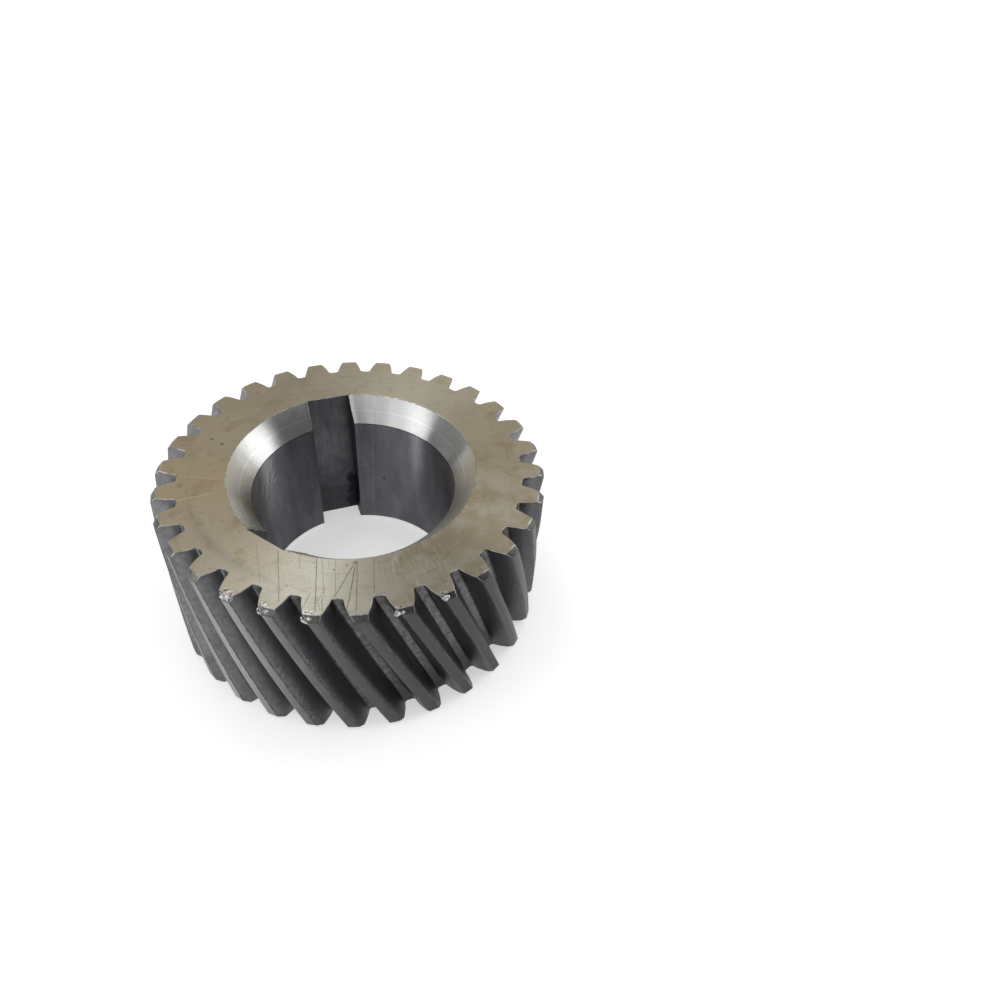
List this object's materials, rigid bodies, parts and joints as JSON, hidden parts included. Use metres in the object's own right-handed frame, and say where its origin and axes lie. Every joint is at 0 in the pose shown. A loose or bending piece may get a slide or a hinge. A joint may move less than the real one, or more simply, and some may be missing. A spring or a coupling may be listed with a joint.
{
  "type": "helical crankshaft gear",
  "caption": "Steel crankshaft gear with left-hand helical teeth, a plain bore with a wide lead-in chamfer, and two keyways that run right through.",
  "frame": {"origin": "on the bore's axis, in the plane of the lower face", "axes": "+Z along the bore's axis from the lower face to the face with the lead-in chamfer, +Y towards the middle of the first keyway"},
  "size_m": [0.0852, 0.0852, 0.0375],
  "materials": {
    "gear_steel": "turned bright on the faces and the lead-in chamfer, dark hobbed finish on the teeth"
  },
  "bodies": {
    "root": {"crankshaft_gear": "gear_steel"}
  },
  "joints": []
}
